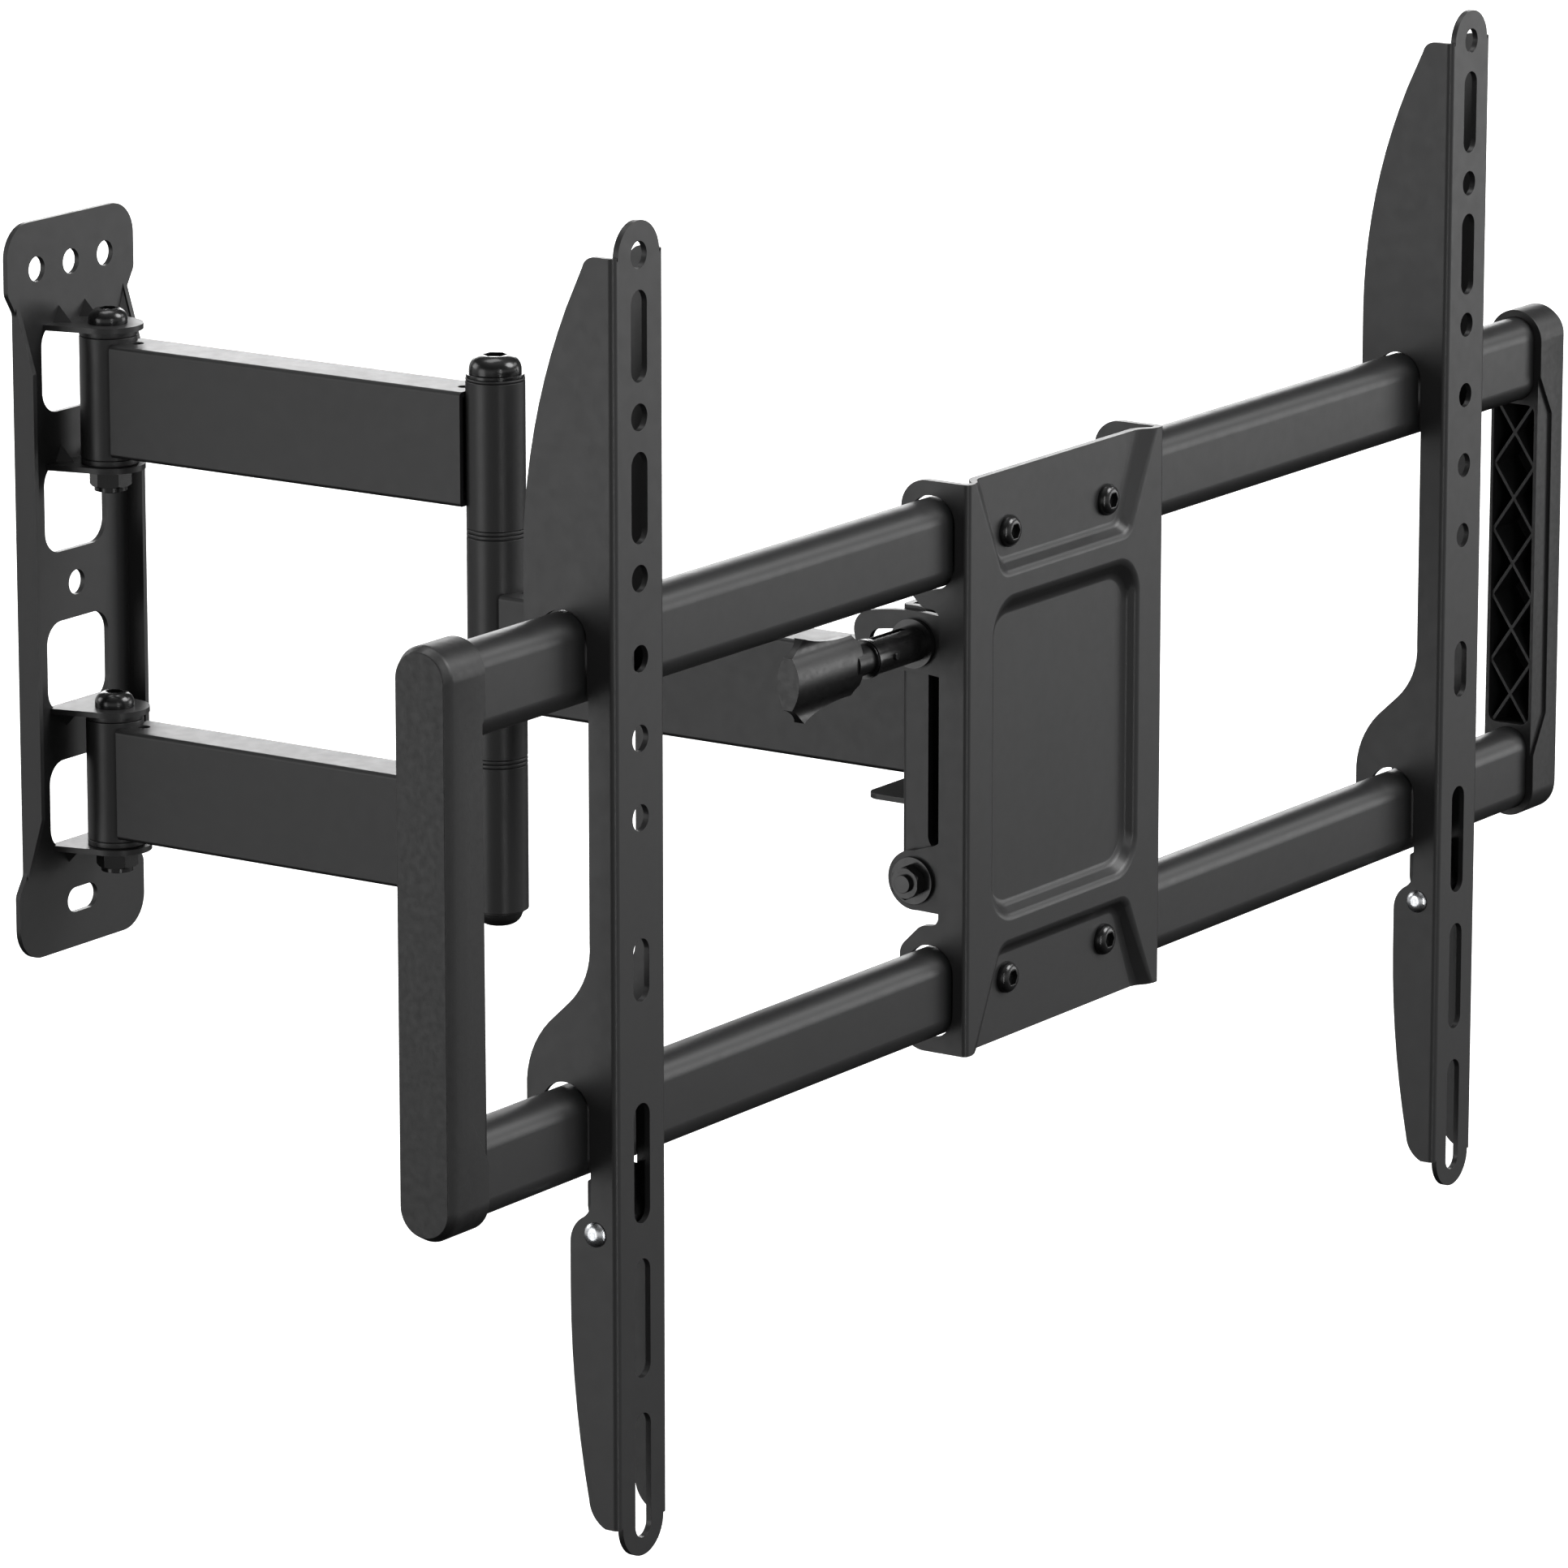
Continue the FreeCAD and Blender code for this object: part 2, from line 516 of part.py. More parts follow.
def swivel_bracket():
    """A channel open to the front, whose side plates carry the tilt studs."""
    side = rounded((-dims.head_web_back, -dims.head_half_height, 2),
                   (-dims.head_bottom_tab, -dims.head_half_height, 6),
                   (-dims.head_bottom_tab, -dims.head_notch_low, 3),
                   (-dims.head_notch_back, -dims.head_notch_low, dims.head_notch_corner),
                   (-dims.head_notch_back, dims.head_notch_high),
                   (-dims.head_top_tab, dims.head_notch_high),
                   (-dims.head_top_tab, dims.head_half_height, 6),
                   (-dims.head_web_back, dims.head_half_height, 2))
    holes = [circle(-dims.tilt_axis, -dims.tilt_drop, dims.stud_radius),
             circle(-dims.tilt_axis, dims.lock_rise, dims.stud_radius + dims.running_fit)]
    web = box("HeadWeb", "head_half_width * 2", "head_sheet", "head_half_height * 2",
              x="-head_half_width", y="-head_web_back - head_sheet", z="-head_half_height")
    left = slab("HeadSideLeft", "YZ", "head_sheet", side, *holes, x="-head_half_width")
    right = slab("HeadSideRight", "YZ", "head_sheet", side, *holes, x="head_half_width - head_sheet")
    folded = fuse("HeadFolded", web, left, right)

    def outside_bend(edge, middle):
        at_side = abs(abs(middle.x) - dims.head_half_width) < 1e-3
        at_back = abs(middle.y + dims.head_web_back) < 1e-3
        return at_side and at_back and runs_along(edge, Vector(0, 0, 1))
    piece("swivel_bracket", rounded_edges("SwivelBracket", folded, dims.head_sheet * 0.8, outside_bend))


def hinge_yoke():
    half, corner = dims.yoke_half_width, dims.yoke_corner
    lug = rounded((-half, -dims.head_web_back), (half, -dims.head_web_back),
                  (half, -dims.yoke_end, corner), (-half, -dims.yoke_end, corner))
    bolt_hole = circle(0, -dims.head_axis, dims.elbow_pin)
    gap = "head_barrel_half + head_bush_flange"
    upper = slab("YokeUpper", "XY", "yoke_sheet", lug, bolt_hole, z=gap)
    lower = slab("YokeLower", "XY", "yoke_sheet", lug, bolt_hole, z=f"-({gap}) - yoke_sheet")
    back = box("YokeBack", "yoke_half_width * 2", "yoke_sheet", f"2 * ({gap} + yoke_sheet)",
               x="-yoke_half_width", y="-head_web_back", z=f"-({gap}) - yoke_sheet")
    piece("hinge_yoke", fuse("HingeYoke", upper, lower, back))


def head_fasteners():
    outside = dims.head_barrel_half + dims.head_bush_flange + dims.yoke_sheet
    seat = "head_barrel_half + head_bush_flange + yoke_sheet"
    where = {"y": "-head_axis"}
    above = ring("HeadWasherAbove", "head_washer_radius", "elbow_pin", "head_washer_height", z=seat, **where)
    below = ring("HeadWasherBelow", "head_washer_radius", "elbow_pin", "head_washer_height",
                 z=f"-({seat}) - head_washer_height", **where)
    piece("head_washers", group("HeadWashers", above, below))
    reach = 2 * (outside + dims.head_washer_height) + dims.head_nut_height + 1.5
    bolt = button_bolt("HeadBolt", dims.elbow_bolt_head, dims.elbow_bolt_rise, dims.elbow_pin, reach,
                       dims.elbow_key, z=f"{seat} + head_washer_height", **where)
    piece("head_bolt", bolt)
    nut = hex_nut("HeadNut", "head_nut_flats", "elbow_pin", "head_nut_height",
                  z=f"-({seat}) - head_washer_height", facing=DOWNWARD, **where)
    piece("head_nut", nut)


def tilt_fasteners():
    """Pressed-in studs carry the tilt bracket: one pivot each side and a guide on the right."""
    places = (("PivotLeft", -1, "-tilt_drop"), ("PivotRight", 1, "-tilt_drop"), ("Guide", 1, "lock_rise"))
    studs, washers, nuts = [], [], []
    for name, side, level in places:
        facing = ALONG_X if side > 0 else AGAINST_X
        sign = "" if side > 0 else "-"
        where = {"y": "-tilt_axis", "z": level, "facing": facing}
        length = "tilt_half_width - head_half_width + head_sheet + stud_tail"
        shank = rod(name + "Shank", "stud_radius", length)
        cap = rod(name + "Cap", "stud_head", "stud_head_height", z="-stud_head_height")
        stud = fuse(name + "Stud", shank, cap)
        studs.append(place(stud, x=f"{sign}(head_half_width - head_sheet)", **where))
        washers.append(ring(name + "Washer", "tilt_washer_radius", "stud_radius", "tilt_washer_height",
                            x=f"{sign}tilt_half_width", **where))
        nuts.append(hex_nut(name + "Nut", "tilt_nut_flats", "stud_radius", "tilt_nut_height",
                            x=f"{sign}(tilt_half_width + tilt_washer_height)", **where))
    piece("pivot_studs", group("PivotStuds", *studs[:2]))
    piece("guide_stud", studs[2])
    piece("tilt_washers", group("TiltWashers", *washers))
    piece("tilt_nuts", group("TiltNuts", *nuts))
    clinch = ring("LockInsert", "stud_head", "stud_radius + running_fit", "head_sheet + 0.5",
                  x="-head_half_width + head_sheet", y="-tilt_axis", z="lock_rise", facing=ALONG_X)
    piece("lock_clinch_nut", clinch)


# ---------------------------------------------------------------- tilt bracket

def polar(radius, degrees):
    """A point about the tilt axis: the angle opens from straight up towards the wall."""
    angle = math.radians(degrees)
    return (radius * math.sin(angle), radius * math.cos(angle))


def tilt_bracket():
    """A channel open to the wall, with an ear on top of each side and a lug for the pivot below."""
    front = -dims.tilt_web_front + dims.tilt_axis
    edge = -dims.tilt_edge + dims.tilt_axis
    foot = -dims.tilt_foot + dims.tilt_drop
    lug = dims.pivot_lug_radius
    inner_start = math.sqrt(dims.ear_inner ** 2 - edge ** 2)
    outer_end = math.sqrt(dims.ear_outer ** 2 - front ** 2)
    side = path((front, foot), (-1.5, -lug), ((lug, 0), (0, lug)), (-6, lug + 2),
                ((-10, lug + 4), (edge, lug + 9)), (edge, inner_start),
                (polar(dims.ear_inner, 0), polar(dims.ear_inner, dims.ear_angle)),
                polar(dims.ear_outer, dims.ear_angle), (polar(dims.ear_outer, 0), (front, outer_end)))
    outward, inward = dims.slot_radius + dims.slot_half_width, dims.slot_radius - dims.slot_half_width
    past = math.degrees(dims.slot_half_width / dims.slot_radius)
    rear, ahead = dims.slot_rear, -dims.slot_front
    slot = path(polar(inward, ahead), (polar(inward, 0), polar(inward, rear)),
                (polar(dims.slot_radius, rear + past), polar(outward, rear)),
                (polar(outward, 0), polar(outward, ahead)),
                (polar(dims.slot_radius, ahead - past), polar(inward, ahead)))
    pivot_hole = circle(0, 0, dims.stud_radius + dims.running_fit)
    where = {"y": "-tilt_axis", "z": "-tilt_drop"}
    left = slab("TiltSideLeft", "YZ", "tilt_sheet", side, slot, pivot_hole, x="-tilt_half_width", **where)
    right = slab("TiltSideRight", "YZ", "tilt_sheet", side, slot, pivot_hole,
                 x="tilt_half_width - tilt_sheet", **where)
    ear_rise = "sqrt(ear_outer^2 - (tilt_web_front - tilt_axis)^2) - tilt_drop"
    web = box("TiltWeb", "tilt_half_width * 2", "tilt_sheet", "tilt_foot + " + ear_rise,
              x="-tilt_half_width", y="-tilt_web_front", z="-tilt_foot")
    folded = fuse("TiltFolded", web, left, right)

    ear_reach = polar(dims.ear_inner, dims.ear_angle)[0] - 1

    def ear_end(edge_line, middle):
        return middle.y > ear_reach - dims.tilt_axis and runs_along(edge_line, Vector(1, 0, 0))

    def outside_bend(edge_line, middle):
        at_side = abs(abs(middle.x) - dims.tilt_half_width) < 1e-3
        at_front = abs(middle.y + dims.tilt_web_front) < 1e-3
        return at_side and at_front and runs_along(edge_line, Vector(0, 0, 1))
    eared = rounded_edges("TiltEared", folded, dims.ear_corner, ear_end)
    piece("tilt_bracket", rounded_edges("TiltBracket", eared, dims.tilt_sheet * 0.8, outside_bend))


# ---------------------------------------------------------------- lock knob

def lock_knob():
    where = {"y": "-tilt_axis", "z": "lock_rise", "facing": AGAINST_X}
    inner_end = dims.head_half_width - dims.head_sheet - 2
    shoulder = turned("StudTurned", path((0, inner_end), (dims.stud_radius, inner_end),
                                         (dims.stud_radius, dims.head_half_width + 0.15),
                                         (dims.shoulder_radius, dims.head_half_width + 0.15),
                                         (dims.shoulder_radius, dims.tilt_half_width),
                                         (dims.stud_radius, dims.tilt_half_width),
                                         (dims.stud_radius, dims.grip_start + 12), (0, dims.grip_start + 12)))
    stud_hole = rod("StudPinHole", "cross_pin_radius", "4 * sleeve_radius", y="2 * sleeve_radius",
                    z="cross_pin_place", facing=TO_FRONT)
    piece("knob_stud", place(cut("KnobStud", shoulder, stud_hole), **where))

    base = dims.tilt_half_width
    ring_start = dims.sleeve_ring_place
    ring_end = ring_start + dims.sleeve_ring_width
    collar_end = base + dims.collar_height
    profile = path((dims.stud_radius, base), (dims.collar_radius, base), (dims.collar_radius, collar_end),
                   (dims.sleeve_radius, collar_end), (dims.sleeve_radius, ring_start),
                   (dims.sleeve_ring_radius, ring_start), (dims.sleeve_ring_radius, ring_end),
                   (dims.sleeve_radius, ring_end), (dims.sleeve_radius, dims.sleeve_end),
                   (dims.stud_radius, dims.sleeve_end))
    keyway = box("SleeveSlot", "sleeve_radius * 2", "sleeve_slot", "sleeve_end - tilt_half_width - 11",
                 y="-sleeve_slot / 2", z="tilt_half_width + 7")
    pin_hole = rod("SleevePinHole", "cross_pin_radius", "4 * sleeve_radius", y="2 * sleeve_radius",
                   z="cross_pin_place", facing=TO_FRONT)
    piece("knob_sleeve", place(cut("KnobSleeve", turned("SleeveTurned", profile), keyway, pin_hole), **where))
    pin = rod("CrossPinRod", "cross_pin_radius", "2 * sleeve_radius + 1.6", y="sleeve_radius + 0.8",
              z="cross_pin_place", facing=TO_FRONT)
    piece("knob_cross_pin", place(group("KnobCrossPin", pin), **where))

    # the grip: a lens-shaped hub that draws in to two wings, which flare at the outer end
    depth, thick, thin = dims.hub_half_depth, dims.wing_half_depth, dims.wing_waist_depth
    tip, root, tall = dims.wing_tip, dims.wing_root, dims.hub_half_height
    edge, waist = tall - 0.7, (tall + tip) / 2 - 0.6
    section = path((edge, thick), ((waist, thin), (tip, thick)), (tip, -thick),
                   ((waist, -thin), (edge, -thick)), ((0, -depth), (-edge, -thick)),
                   ((-waist, -thin), (-tip, -thick)), (-tip, thick), ((-waist, thin), (-edge, thick)),
                   ((0, depth), (edge, thick)))
    start, end = dims.wing_start, dims.wing_end
    low, high = dims.grip_start, dims.grip_end
    half_way, flare = ((root + 0.6, (start + end) / 2), (tip, end)), ((tip - 3.1, end + 2.8), (tall, high))
    outline = path((root, start), half_way, flare, (-tall, high), ((3.1 - tip, end + 2.8), (-tip, end)),
                   ((-root - 0.6, (start + end) / 2), (-root, start)), (3 - root, low), (root - 3, low))
    wings = common("GripShape", slab("GripSection", "XY", "grip_end - grip_start", section, z="grip_start"),
                   slab("GripOutline", "XZ", "hub_half_depth * 4", outline, y="hub_half_depth * 2"))
    neck = rod("GripNeck", "neck_radius", "grip_start - sleeve_end + 3", z="sleeve_end")
    bore = rod("GripBore", "stud_radius", "12 + grip_start - sleeve_end", z="sleeve_end")
    piece("knob_grip", place(cut("KnobGrip", fuse("GripBody", wings, neck), bore), **where))


# ---------------------------------------------------------------- front plate and rails

SCREEN = {"y": "-screen_face", "z": "-middle_drop"}


def recess(name, front_loop, floor_loop):
    """The two solids of a pressed recess: what it adds behind the sheet and what it takes from the front."""
    def at(depth):
        return {"y": f"-screen_face + plate_front + {depth}", "z": "-middle_drop"}
    added = blend(name + "Added", "XZ", front_loop(1.2), floor_loop(1.2),
                  at("plate_sheet * 0.6"), at("plate_sheet + recess_depth"))
    taken = blend(name + "Taken", "XZ", front_loop(0), floor_loop(0), at("-0.01"), at("recess_depth"))
    return added, taken


def front_plate():
    half, high = dims.plate_half_width, dims.plate_half_height
    web = slab("PlateWeb", "XZ", "plate_sheet", rounded((-half, -high, 1), (half, -high, 1), (half, high, 1),
                                                        (-half, high, 1)),
               y="-screen_face + plate_front + plate_sheet", z="-middle_drop")

    def centre(across, low, high, corner):
        """A recess in the middle, as a loop that grows by the sheet's thickness behind."""
        def loop(grow):
            return rounded(*[(side * (across + grow), level, corner + grow) for side, level in
                             ((-1, -low - grow), (1, -low - grow), (1, high + grow), (-1, high + grow))])
        return loop

    def end(sign, mouth, neck, level, corner):
        """A recess open to the plate's upper or lower edge."""
        def loop(grow):
            outer, inner = sign * (high + 0.01), sign * (level - grow)
            return rounded((-mouth - grow, outer), (mouth + grow, outer), (neck + grow, inner, corner),
                           (-neck - grow, inner, corner))
        return loop

    corner = dims.centre_corner
    mouths = [centre(dims.centre_half_width, dims.centre_low, dims.centre_high, corner)]
    floors = [centre(dims.centre_floor_half_width, dims.centre_floor_low, dims.centre_floor_high, corner - 1)]
    corner = dims.end_corner
    for sign in (1, -1):
        mouths.append(end(sign, dims.end_mouth, dims.end_neck, dims.end_level, corner))
        floors.append(end(sign, dims.end_floor_mouth, dims.end_floor_neck, dims.end_floor_level, corner - 1))
    recesses = [recess(name, mouth, floor)
                for name, mouth, floor in zip(("Centre", "Upper", "Lower"), mouths, floors)]

    # side flanges, each with a hole for the upper and the lower rail
    back, edge = dims.plate_back, dims.plate_edge
    quarter = [(edge, 52.6, 3.2), (22.9, 53.2, 5), (back, 61.3, 6), (back, high, dims.plate_corner),
               (dims.plate_front, high)]
    other_half = [(corner[0], -corner[1]) + corner[2:] for corner in reversed(quarter)]
    flange = rounded(*quarter, *other_half)
    holes = [oval(dims.rail_hole_depth, sign * dims.rail_level, dims.rail_hole_straight_half,
                  dims.rail_hole_radius) for sign in (1, -1)]
    left = slab("PlateSideLeft", "YZ", "plate_sheet", flange, *holes, x="-plate_half_width", **SCREEN)
    right = slab("PlateSideRight", "YZ", "plate_sheet", flange, *holes,
                 x="plate_half_width - plate_sheet", **SCREEN)
    folded = fuse("PlateFolded", web, left, right, *[added for added, taken in recesses])
    pressed = cut("PlatePressed", folded, *[taken for added, taken in recesses])

    screw_holes = [rod(f"PlateScrewHole{number}", "screw_radius", "plate_sheet * 4", x=across,
                       y="-tilt_web_front + plate_sheet", z=up, facing=TO_FRONT)
                   for number, (across, up) in enumerate(screw_places())]
    drilled = cut("PlateDrilled", pressed, *screw_holes)

    def outside_bend(edge_line, middle):
        at_front = abs(middle.y + dims.screen_face - dims.plate_front) < 1e-3
        return at_front and abs(abs(middle.x) - half) < 1e-3 and runs_along(edge_line, Vector(0, 0, 1))
    piece("front_plate", rounded_edges("FrontPlate", drilled, dims.plate_sheet * 0.8, outside_bend))


def screw_places():
    return [(f"{side}screw_spread", f"{level}rail_level - middle_drop") for level in ("", "-")
            for side in ("-", "")]


def plate_screws():
    screws, inserts = [], []
    rail_front = "-screen_face + rail_depth - rail_radius"
    for number, (across, up) in enumerate(screw_places()):
        screws.append(button_bolt(f"PlateScrew{number}", dims.screw_head, dims.screw_rise, dims.screw_radius,
                                  dims.screw_reach, dims.screw_key, x=across,
                                  y="-screen_face + plate_front + recess_depth", z=up, facing=TO_FRONT))
        inserts.append(ring(f"RailInsert{number}", "insert_radius", "screw_radius", "insert_length",
                            x=across, y=f"{rail_front} + rail_wall + insert_length", z=up, facing=TO_FRONT))
    piece("plate_screws", group("PlateScrews", *screws))
    piece("rail_insert_nuts", group("RailInserts", *inserts))


def rails():
    outside = oval(dims.rail_depth, 0, dims.rail_straight_half, dims.rail_radius)
    inside = oval(dims.rail_depth, 0, dims.rail_straight_half, dims.rail_radius - dims.rail_wall)
    for word, sign in (("upper", ""), ("lower", "-")):
        name = "Rail" + word.title()
        level = f"{sign}rail_level - middle_drop"
        tube = slab(name + "Tube", "YZ", "rail_half_length * 2", outside, inside,
                    x="-rail_half_length", y="-screen_face", z=level)
        holes = [rod(name + "Hole" + side, "screw_radius", "rail_radius", x=across,
                     y="-screen_face + rail_depth", z=level, facing=TO_FRONT)
                 for side, across in (("Left", "-screw_spread"), ("Right", "screw_spread"))]
        piece("rail_" + word, cut(name, tube, *holes))


def end_cap(label, side):
    """A moulded cap over both rail ends: bevelled outside, waisted and ribbed on the inner side."""
    name = label.title().replace("_", "")
    depth, straight = dims.rail_depth, dims.cap_straight_half

    def span(start, length):
        """Where a slab of this length lies between two distances from the middle."""
        return {"x": start if side > 0 else f"-({start}) - ({length})", **SCREEN}
    full = oval(depth, 0, straight, dims.cap_radius)
    straight_run = "cap_outer - cap_bevel_run - cap_inner"
    body = slab(name + "Body", "YZ", straight_run, full, **span("cap_inner", straight_run))
    sign = "" if side > 0 else "-"
    bevel = blend(name + "Bevel", "YZ", full, oval(depth, 0, straight, dims.cap_radius - dims.cap_bevel),
                  {"x": f"{sign}(cap_outer - cap_bevel_run)", **SCREEN}, {"x": f"{sign}cap_outer", **SCREEN})
    cavity_half = dims.cap_cavity_half
    cavity_width = dims.cap_cavity_radius
    cavity_loop = rounded((depth - cavity_width, -cavity_half, 3), (depth + cavity_width, -cavity_half, 3),
                          (depth + cavity_width, cavity_half, 3), (depth - cavity_width, cavity_half, 3))
    cavity_run = "cap_outer - cap_floor - cap_inner"
    cavity = slab(name + "Cavity", "YZ", cavity_run, cavity_loop, **span("cap_inner", cavity_run))
    socket_run = "rail_half_length - cap_inner"
    sockets = [slab(name + "Socket" + word, "YZ", socket_run,
                    oval(depth, level, dims.rail_straight_half, dims.rail_radius),
                    **span("cap_inner", socket_run))
               for word, level in (("Upper", dims.rail_level), ("Lower", -dims.rail_level))]

    # the waist: a shallow step round the inner edge between the two rails
    reach, half, run = dims.waist_reach, dims.waist_half, dims.waist_run
    inner_x = side * dims.cap_inner
    step = rounded((inner_x - side, -reach - 1.6), (inner_x + side * run, -half, 2),
                   (inner_x + side * run, half, 2), (inner_x - side, reach + 1.6))
    waist_front = slab(name + "WaistFront", "XZ", "waist_depth", step,
                       y="-screen_face + rail_depth - cap_radius + waist_depth", z="-middle_drop")
    waist_back = slab(name + "WaistBack", "XZ", "waist_depth", step,
                      y="-screen_face + rail_depth + cap_radius", z="-middle_drop")
    shell = cut(name + "Shell", fuse(name + "Solid", body, bevel), cavity, *sockets, waist_front, waist_back)

    # crossed ribs stiffen the hollow
    rib_run = "cap_outer - cap_floor - cap_inner - cap_rib_setback"
    slope = math.atan2(dims.cap_rib_pitch, 2 * cavity_width)
    aside = dims.cap_rib / 2 / math.cos(slope)
    rise = dims.cap_rib_pitch / 2 + 0.5
    across = rise / math.tan(slope)
    loops = []
    for step_number in (-2, -1, 0, 1, 2):
        middle = step_number * dims.cap_rib_pitch
        for lean in (1, -1):
            loops.append(rounded((depth - lean * across, middle - rise - aside),
                                 (depth + lean * across, middle + rise - aside),
                                 (depth + lean * across, middle + rise + aside),
                                 (depth - lean * across, middle - rise + aside)))
    bars = [slab(f"{name}Rib{number}", "YZ", rib_run, loop, **span("cap_inner + cap_rib_setback", rib_run))
            for number, loop in enumerate(loops)]
    ribs = common(name + "Ribs", fuse(name + "Bars", *bars), cavity)
    piece(label, fuse(name, shell, ribs))


# ---------------------------------------------------------------- uprights and their latches

# levels of the screen holes, and the middle and the length of each screen slot
SCREEN_HOLES = (200, 150, 100, 75, 50, 25)
SCREEN_SLOTS = ((175, 28.5), (125, 28.5), (-23.2, 20), (-84.9, 38.5), (-134.9, 38.5), (-185.9, 40.5))


def upright_flange():
    """The side of an upright: a hook over each rail, waisted between, tapering at both ends."""
    foot, top = -dims.upright_foot, dims.upright_top
    depth = dims.rail_hole_depth + 0.1
    radius = dims.rail_hole_radius
    near, far = depth - radius, depth + radius
    upper_bend = dims.rail_level + dims.rail_straight_half - 1.2
    lower_bend = -dims.rail_level + dims.rail_straight_half - 0.4
    return path((0, foot), (5.1, foot), ((9.4, -197.5), (11.2, -192.5)), ((16.2, -158), (17.8, -125)),
                (17.8, -110), ((16.6, -104.9), (13.6, -101.5)), ((10.8, -98.8), (10, -95)),
                (10, -86), (near, -85),
                (near, lower_bend), ((depth, lower_bend + radius), (far, lower_bend)), (far, -81),
                ((31.3, -83.7), (34, -81)), (34, -63), ((31.8, -50.2), (25.4, -40.4)), (17.6, -33),
                ((11.7, -24.2), (10, -13)), (10, 64), (near, 65),
                (near, upper_bend), ((depth, upper_bend + radius), (far, upper_bend)), (far, 69),
                ((31.3, 66.3), (34, 69)), (34, 105), ((28.6, 150), (17.5, 184)), (11.5, 197),
                ((9.9, 199.5), (7, top)), (0, top))


def upright(label, sign):
    name = label.title().replace("_", "")
    half = dims.upright_half_width
    tab = dims.tab_radius
    web_loop = path((-half, -dims.upright_foot + 3), (-tab, -dims.upright_foot),
                    ((0, -dims.upright_foot - tab), (tab, -dims.upright_foot)),
                    (half, -dims.upright_foot + 3),
                    (half, dims.upright_top - 3), (tab, dims.upright_top - 0.9),
                    ((0, dims.upright_top - 0.9 + tab), (-tab, dims.upright_top - 0.9)),
                    (-half, dims.upright_top - 3))
    holes = [circle(0, level, dims.vesa_radius) for level in SCREEN_HOLES]
    for middle, length in SCREEN_SLOTS:
        holes.append(oval(0, middle, length / 2 - dims.vesa_radius, dims.vesa_radius))
    place_x = f"{sign}upright_place"
    web = slab(name + "Web", "XZ", "upright_sheet", web_loop, *holes, x=place_x,
               y="-screen_face + upright_sheet", z="-middle_drop")
    rivet_hole = circle(dims.rivet_depth, -dims.rivet_level, dims.rivet_pin)
    flange = upright_flange()
    left = slab(name + "Left", "YZ", "upright_sheet", flange, rivet_hole,
                x=f"{place_x} - upright_half_width", **SCREEN)
    right = slab(name + "Right", "YZ", "upright_sheet", flange, rivet_hole,
                 x=f"{place_x} + upright_half_width - upright_sheet", **SCREEN)
    folded = fuse(name + "Folded", web, left, right)
    centre = float(sign + "1") * dims.upright_place

    def outside_bend(edge, middle):
        at_face = abs(middle.y + dims.screen_face) < 1e-3
        return at_face and abs(abs(middle.x - centre) - half) < 1e-3 and runs_along(edge, Vector(0, 0, 1))
    piece(label, rounded_edges(name, folded, dims.upright_bend, outside_bend))


def latch_parts(side_word, sign):
    """The rivet across an upright and the latch that turns on it, under the lower rail."""
    title = side_word.title()
    centre = f"{sign}upright_place"
    axis = {"y": "-screen_face + rivet_depth", "z": "-middle_drop - rivet_level"}
    pin = rod("RivetPin" + title, "rivet_pin", "upright_half_width * 2", x=f"{centre} - upright_half_width",
              facing=ALONG_X, **axis)
    head = dims.rivet_head
    rise = dims.rivet_rise
    dome = path((0, 0), (head, 0), (head, 0.4), ((head * 0.72, rise * 0.78), (head * 0.25, rise)), (0, rise))
    heads = []
    for end, facing, sign_outward in (("Left", AGAINST_X, "-"), ("Right", ALONG_X, "+")):
        heads.append(place(turned(f"RivetHead{title}{end}", dome),
                           x=f"{centre} {sign_outward} upright_half_width", facing=facing, **axis))
    piece("latch_rivet_" + side_word, fuse("LatchRivet" + title, pin, *heads))

    hub = dims.latch_hub
    back, front = dims.latch_back - dims.rivet_depth, dims.latch_front - dims.rivet_depth
    top = dims.rivet_level - dims.latch_top
    loop = path((-hub, 0), ((0, -hub), (hub, 0)), (hub, 4), (back, 8), (back, top - 1.5), (back - 2.4, top),
                (front + 1, top), (front, top - 1), (front, 7), (-hub, 3))
    body = slab("LatchBody" + title, "YZ", "latch_half_width * 2", loop,
                circle(0, 0, dims.rivet_pin + dims.running_fit), x=f"{centre} - latch_half_width", **axis)
    piece("latch_" + side_word, body)


# ---------------------------------------------------------------- assembly

wall_plate()
wall_hinge_pins()
rear_arms()
elbow_fasteners()
forearm()
swivel_bracket()
hinge_yoke()
head_fasteners()
tilt_fasteners()
tilt_bracket()
lock_knob()
front_plate()
plate_screws()
rails()
end_cap("end_cap_left", -1)
end_cap("end_cap_right", 1)
upright("upright_left", "-")
upright("upright_right", "")
latch_parts("left", "-")
latch_parts("right", "")

doc.recompute()
for item in doc.Objects:
    if {"Invalid", "Error"} & set(item.State):
        raise SystemExit(f"{item.Label} failed: {item.State}")
os.makedirs("parts", exist_ok=True)
for item in pieces:
    shape = item.Shape
    if shape.isNull() or not shape.isValid():
        raise SystemExit(f"{item.Label} is not a valid solid")
    shape.exportStep(f"parts/{item.Label}.step")
    print(f"{item.Label}: {len(shape.Solids)} solid(s), {shape.Volume / 1000:.1f} cm3")
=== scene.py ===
"""Looks of the full motion wall mount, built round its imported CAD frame. Metres, +Z up, wall at Y = 0."""
import json
import math

